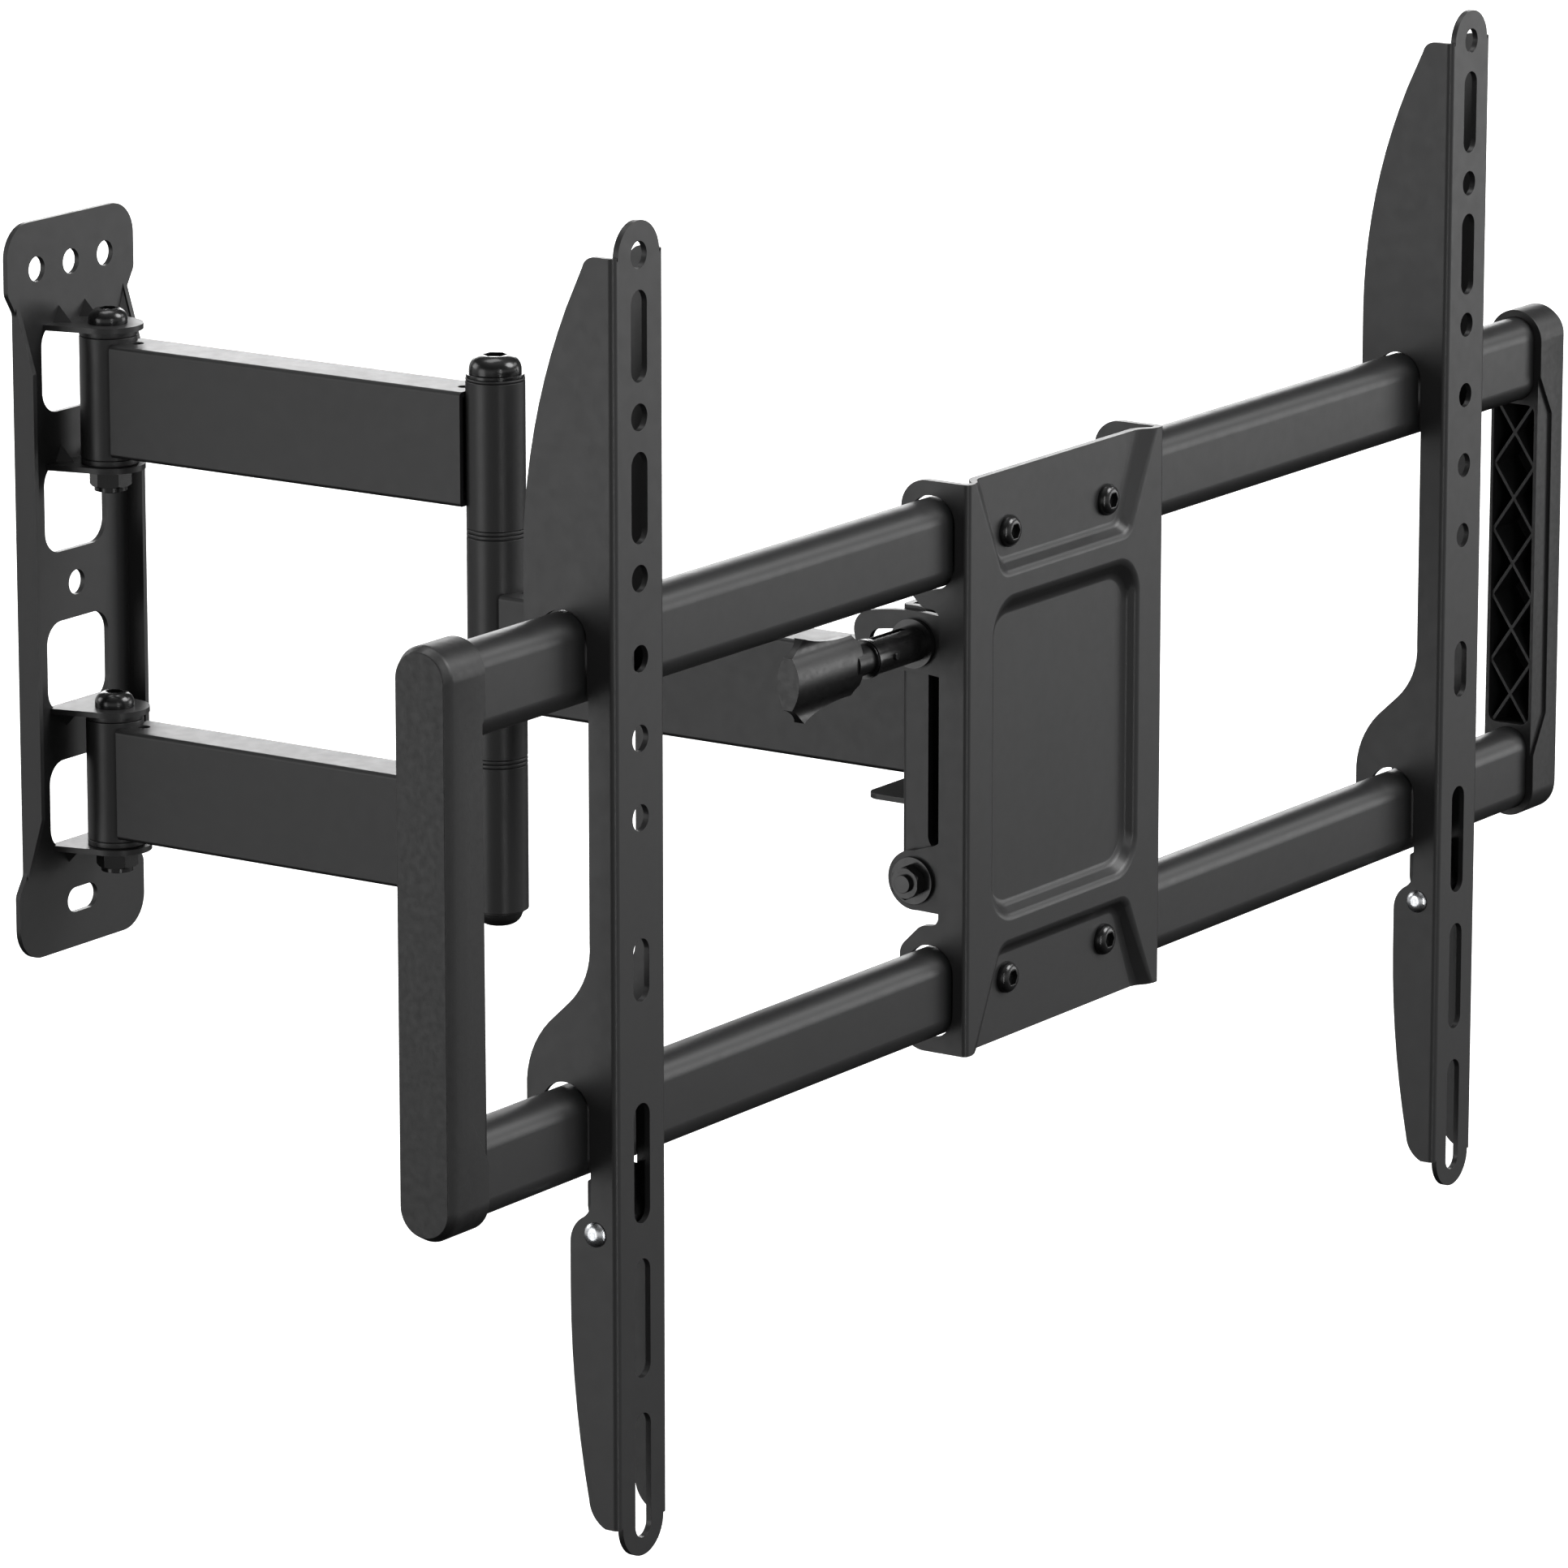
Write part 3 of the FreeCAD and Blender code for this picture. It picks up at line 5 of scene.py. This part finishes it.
import bmesh
import bpy
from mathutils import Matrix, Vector


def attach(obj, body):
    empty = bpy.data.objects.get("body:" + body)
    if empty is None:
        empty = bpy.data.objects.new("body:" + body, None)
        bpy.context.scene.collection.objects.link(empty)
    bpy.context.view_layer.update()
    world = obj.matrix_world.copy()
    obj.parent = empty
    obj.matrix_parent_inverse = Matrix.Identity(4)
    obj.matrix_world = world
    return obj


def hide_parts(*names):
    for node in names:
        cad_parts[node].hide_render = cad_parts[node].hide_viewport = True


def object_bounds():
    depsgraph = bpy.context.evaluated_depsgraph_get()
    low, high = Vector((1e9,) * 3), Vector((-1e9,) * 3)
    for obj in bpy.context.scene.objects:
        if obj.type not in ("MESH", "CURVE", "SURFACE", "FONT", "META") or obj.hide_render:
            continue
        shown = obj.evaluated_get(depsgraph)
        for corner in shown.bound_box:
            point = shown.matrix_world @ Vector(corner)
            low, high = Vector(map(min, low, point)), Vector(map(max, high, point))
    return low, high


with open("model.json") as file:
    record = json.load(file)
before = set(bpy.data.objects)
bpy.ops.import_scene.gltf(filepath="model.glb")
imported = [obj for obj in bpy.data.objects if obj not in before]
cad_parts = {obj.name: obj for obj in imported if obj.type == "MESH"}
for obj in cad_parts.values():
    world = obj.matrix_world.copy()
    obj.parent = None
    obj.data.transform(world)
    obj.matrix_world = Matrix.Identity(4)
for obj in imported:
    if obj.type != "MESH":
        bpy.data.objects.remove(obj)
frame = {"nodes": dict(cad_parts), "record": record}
CAD_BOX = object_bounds()
MM = 0.001


# ---------------------------------------------------------------- camera, floor and light

def make_camera():
    """The camera of the photograph: a long lens, left of and above the mount."""
    data = bpy.data.cameras.new("view")
    data.lens = 209
    data.sensor_width = 36
    data.clip_end = 50
    camera = bpy.data.objects.new("view", data)
    camera.location = (-2.4721, -1.9737, 0.6853)
    camera.rotation_mode = "QUATERNION"
    camera.rotation_quaternion = Vector((0.8057, 0.5441, -0.2341)).to_track_quat("-Z", "Y")
    bpy.context.scene.collection.objects.link(camera)
    bpy.context.scene.camera = camera


FLOOR_DROP = 35 * MM
FLOOR_HALF = 14


def make_floor():
    """A wide pale floor just below the lowest point. It lights nothing, so undersides stay dark."""
    low = CAD_BOX[0].z - FLOOR_DROP
    mesh = bpy.data.meshes.new("floor")
    corners = [(x * FLOOR_HALF, y * FLOOR_HALF, low) for x, y in ((-1, -1), (1, -1), (1, 1), (-1, 1))]
    mesh.from_pydata(corners, [], [(0, 1, 2, 3)])
    floor = bpy.data.objects.new("floor", mesh)
    bpy.context.scene.collection.objects.link(floor)
    material = bpy.data.materials.new("floor_paper")
    material.use_nodes = True
    shader = material.node_tree.nodes["Principled BSDF"]
    shader.inputs["Base Color"].default_value = (0.93, 0.93, 0.93, 1)
    shader.inputs["Roughness"].default_value = 0.9
    shader.inputs["Emission Color"].default_value = (1, 1, 1, 1)
    shader.inputs["Emission Strength"].default_value = 0.6
    mesh.materials.append(material)
    floor.visible_diffuse = False
    floor.visible_glossy = False


def aimed(name, data, place, target=(0, -0.25, 0)):
    light = bpy.data.objects.new(name, data)
    light.location = place
    light.rotation_mode = "QUATERNION"
    light.rotation_quaternion = (Vector(target) - Vector(place)).to_track_quat("-Z", "Y")
    bpy.context.scene.collection.objects.link(light)


def sun(name, place, strength, spread):
    data = bpy.data.lights.new(name, "SUN")
    data.energy = strength
    data.angle = math.radians(spread)
    aimed(name, data, place)


def softbox(name, place, size, power):
    data = bpy.data.lights.new(name, "AREA")
    data.shape = "RECTANGLE"
    data.size, data.size_y = size
    data.energy = power
    aimed(name, data, place)


# brightness of the surroundings by height: 0 is straight down, 0.5 the horizon and 1 straight up
SKY = ((0.0, 0.0), (0.32, 0.05), (0.42, 0.45), (0.55, 0.55),
       (0.62, 0.3), (0.72, 0.05), (0.88, 0.15), (1.0, 0.5))
# the surroundings fade to the right (+X), so that bends turned that way end in a dark line
FADE_START, FADE_END = 0.86, 0.97
FADE_FULL, FADE_LEFT = 1.25, 0.2


def light_studio():
    """A studio with a bright band round the horizon and a dark one above it, and its lamps."""
    world = bpy.data.worlds.new("studio")
    world.use_nodes = True
    nodes, links = world.node_tree.nodes, world.node_tree.links
    split = nodes.new("ShaderNodeSeparateXYZ")
    links.new(nodes.new("ShaderNodeTexCoord").outputs["Generated"], split.inputs["Vector"])
    height = nodes.new("ShaderNodeMapRange")
    height.inputs["From Min"].default_value = -1
    links.new(split.outputs["Z"], height.inputs["Value"])
    ramp = nodes.new("ShaderNodeValToRGB").color_ramp
    while len(ramp.elements) < len(SKY):
        ramp.elements.new(0.5)
    for element, (position, level) in zip(ramp.elements, SKY):
        element.position = position
        element.color = (level, level, level, 1)
    links.new(height.outputs["Result"], nodes["Color Ramp"].inputs["Fac"])
    links.new(nodes["Color Ramp"].outputs["Color"], nodes["Background"].inputs["Color"])
    fade = nodes.new("ShaderNodeMapRange")
    fade.inputs["From Min"].default_value = FADE_START
    fade.inputs["From Max"].default_value = FADE_END
    fade.inputs["To Min"].default_value = FADE_FULL
    fade.inputs["To Max"].default_value = FADE_LEFT
    links.new(split.outputs["X"], fade.inputs["Value"])
    links.new(fade.outputs["Result"], nodes["Background"].inputs["Strength"])
    bpy.context.scene.world = world
    bpy.context.scene.view_settings.view_transform = "Standard"
    sun("key", (1.2, -2.4, 1.9), 2.2, 30)
    softbox("right_high", (3.6, -2.7, 2.1), (2.2, 0.9), 18)
    softbox("right_low", (3.6, -2.9, 0.05), (2.0, 1.4), 26)
    softbox("left", (-2.5, 0.95, -0.1), (1.3, 1.8), 15)
    softbox("strip", (-1.35, -2.4, -0.1), (0.16, 2.4), 14)
    softbox("overhead", (0.2, 0.3, 2.6), (1.6, 1.2), 22)
    softbox("behind", (2.4, 1.7, 0.9), (2.0, 1.0), 32)
    softbox("back", (-1.0, 2.6, 1.1), (1.6, 1.2), 20)


# ---------------------------------------------------------------- materials

class Finish:
    """A node material under construction."""

    def __init__(self, name):
        self.material = bpy.data.materials.new(name)
        self.material.use_nodes = True
        self.nodes = self.material.node_tree.nodes
        self.links = self.material.node_tree.links
        self.shader = self.nodes["Principled BSDF"]
        self.place = self.nodes.new("ShaderNodeTexCoord").outputs["Object"]

    def noise(self, scale, detail=3.0, roughness=0.55):
        node = self.nodes.new("ShaderNodeTexNoise")
        node.inputs["Scale"].default_value = scale
        node.inputs["Detail"].default_value = detail
        node.inputs["Roughness"].default_value = roughness
        self.links.new(self.place, node.inputs["Vector"])
        return node.outputs["Fac"]

    def grains(self, scale):
        node = self.nodes.new("ShaderNodeTexVoronoi")
        node.feature = "SMOOTH_F1"
        node.inputs["Scale"].default_value = scale
        self.links.new(self.place, node.inputs["Vector"])
        return node.outputs["Distance"]

    def ramp(self, value, low, high, from_low=0.3, from_high=0.7):
        node = self.nodes.new("ShaderNodeMapRange")
        node.inputs["From Min"].default_value = from_low
        node.inputs["From Max"].default_value = from_high
        node.inputs["To Min"].default_value = low
        node.inputs["To Max"].default_value = high
        self.links.new(value, node.inputs["Value"])
        return node.outputs["Result"]

    def tint(self, value, dark, light):
        node = self.nodes.new("ShaderNodeMix")
        node.data_type = "RGBA"
        node.inputs["A"].default_value = (*dark, 1)
        node.inputs["B"].default_value = (*light, 1)
        self.links.new(value, node.inputs["Factor"])
        return node.outputs["Result"]

    def bump(self, height, strength, depth, under=None):
        node = self.nodes.new("ShaderNodeBump")
        node.inputs["Strength"].default_value = strength
        node.inputs["Distance"].default_value = depth
        self.links.new(height, node.inputs["Height"])
        if under is not None:
            self.links.new(under, node.inputs["Normal"])
        return node.outputs["Normal"]

    def connect(self, value, socket):
        self.links.new(value, self.shader.inputs[socket])


def grey(level):
    return (level, level, level * 1.02)


def powder_coat():
    """Matte black powder coat: fine orange peel with a sharper grain on top, slightly mottled."""
    finish = Finish("powder_coat")
    mottle = finish.noise(35, 4)
    finish.connect(finish.tint(finish.ramp(mottle, 0, 1), grey(0.017), grey(0.019)), "Base Color")
    finish.connect(finish.ramp(finish.noise(220, 3), 0.38, 0.43), "Roughness")
    peel = finish.bump(finish.noise(900, 2), 0.12, 0.04 * MM)
    finish.connect(finish.bump(finish.noise(3200, 3, 0.7), 0.3, 0.02 * MM, peel), "Normal")
    finish.shader.inputs["Specular IOR Level"].default_value = 0.5
    return finish.material


def plated_black():
    """Black plated steel: darker and glossier than the powder coat, with faint machining scatter."""
    finish = Finish("plated_black")
    scatter = finish.ramp(finish.noise(180, 4), 0, 1)
    finish.connect(finish.tint(scatter, grey(0.006), grey(0.01)), "Base Color")
    finish.connect(finish.ramp(finish.noise(300, 2), 0.2, 0.26), "Roughness")
    finish.connect(finish.bump(finish.noise(1200, 2), 0.05, 0.01 * MM), "Normal")
    return finish.material


def moulded(name, level, rough, grain_scale, depth):
    """Moulded plastic with a fine spark-eroded grain."""
    finish = Finish(name)
    shade = finish.ramp(finish.noise(60, 3), 0, 1)
    finish.connect(finish.tint(shade, grey(level * 0.9), grey(level * 1.12)), "Base Color")
    finish.connect(finish.ramp(finish.noise(400, 3), rough - 0.05, rough + 0.06), "Roughness")
    finish.connect(finish.bump(finish.grains(grain_scale), 0.35, depth), "Normal")
    return finish.material


def zinc():
    """Bright zinc plating with a soft crystalline cloudiness."""
    finish = Finish("zinc")
    cloud = finish.ramp(finish.noise(900, 4), 0, 1)
    finish.connect(finish.tint(cloud, (0.52, 0.54, 0.57), (0.78, 0.79, 0.8)), "Base Color")
    finish.connect(finish.ramp(finish.noise(1500, 3), 0.2, 0.34), "Roughness")
    finish.connect(finish.bump(finish.noise(3000, 2), 0.2, 0.02 * MM), "Normal")
    finish.shader.inputs["Metallic"].default_value = 1.0
    return finish.material


FINISHES = {
    "powder_coat": powder_coat(),
    "black_fastener": plated_black(),
    "bush_plastic": moulded("bush_nylon", 0.016, 0.42, 3000, 0.02 * MM),
    "cap_plastic": moulded("cap_moulding", 0.011, 0.46, 2600, 0.02 * MM),
    "grip_plastic": moulded("grip_moulding", 0.005, 0.36, 2600, 0.01 * MM),
    "latch_plastic": moulded("latch_nylon", 0.014, 0.5, 2600, 0.02 * MM),
    "zinc_rivet": zinc(),
}


# ---------------------------------------------------------------- CAD nodes with softened edges

EDGE_WIDTHS = {
    "powder_coat": 0.35 * MM, "black_fastener": 0.2 * MM, "bush_plastic": 0.4 * MM,
    "cap_plastic": 0.35 * MM, "grip_plastic": 0.45 * MM, "latch_plastic": 0.4 * MM, "zinc_rivet": 0.1 * MM,
}


def node_bodies():
    bodies = frame["record"]["behaviour"]["bodies"]
    return {node: body for body, nodes in bodies.items() for node in nodes}


# an edge sharper than this is broken, and shading runs smoothly over a softer one
SHARP = math.radians(32)
MERGE = 0.002 * MM
FLAT = math.radians(0.6)
# pressed sheets, with the width of the soft bend round each recess
PRESSED = {"front_plate": 1.5 * MM}
SHORT_RIM = 0.05 * MM


def pressed_edge(edge):
    """An edge of a recess: it joins a sloping wall to the sheet's front or to the recess floor."""
    flat = [face for face in edge.link_faces if abs(face.normal.y) > 0.99]
    slope = [face for face in edge.link_faces if 0.3 < abs(face.normal.y) < 0.95]
    return len(flat) == 1 and len(slope) == 1


def is_sharp(edge):
    return len(edge.link_faces) == 2 and edge.calc_face_angle() > SHARP


def bevelled(shape, edges, width, segments, clamped):
    bmesh.ops.bevel(shape, geom=edges, offset=width, offset_type="OFFSET", segments=segments,
                    profile=0.5, affect="EDGES", clamp_overlap=clamped, loop_slide=True)


def softened(node, slot, body):
    """A copy of a CAD node with its edges broken, which stands for the node."""
    source = frame["nodes"][node]
    mesh = source.data.copy()
    mesh.name = node + "_mesh"
    shape = bmesh.new()
    shape.from_mesh(mesh)
    bmesh.ops.remove_doubles(shape, verts=shape.verts, dist=MERGE)
    bmesh.ops.dissolve_limit(shape, angle_limit=FLAT, verts=shape.verts, edges=shape.edges)
    if node in PRESSED:
        rims = [vert for vert in shape.verts if any(map(pressed_edge, filter(is_sharp, vert.link_edges)))]
        bmesh.ops.remove_doubles(shape, verts=rims, dist=SHORT_RIM)
        soft = [edge for edge in shape.edges if is_sharp(edge) and pressed_edge(edge)]
        bevelled(shape, soft, PRESSED[node], 6, clamped=False)
    bevelled(shape, list(filter(is_sharp, shape.edges)), EDGE_WIDTHS[slot], 2, clamped=True)
    for face in shape.faces:
        face.smooth = True
    for edge in shape.edges:
        edge.smooth = len(edge.link_faces) != 2 or edge.calc_face_angle() < SHARP
    shape.to_mesh(mesh)
    shape.free()
    mesh.materials.clear()
    mesh.materials.append(FINISHES[slot])
    piece = bpy.data.objects.new(node + "_finished", mesh)
    bpy.context.scene.collection.objects.link(piece)
    weighted = piece.modifiers.new("normals", "WEIGHTED_NORMAL")
    weighted.keep_sharp = True
    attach(piece, body)
    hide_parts(node)


def dress_nodes():
    bodies = node_bodies()
    for row in frame["record"]["subparts"]:
        softened(row["node"], row["material_slot"], bodies[row["node"]])


make_camera()
make_floor()
light_studio()
dress_nodes()
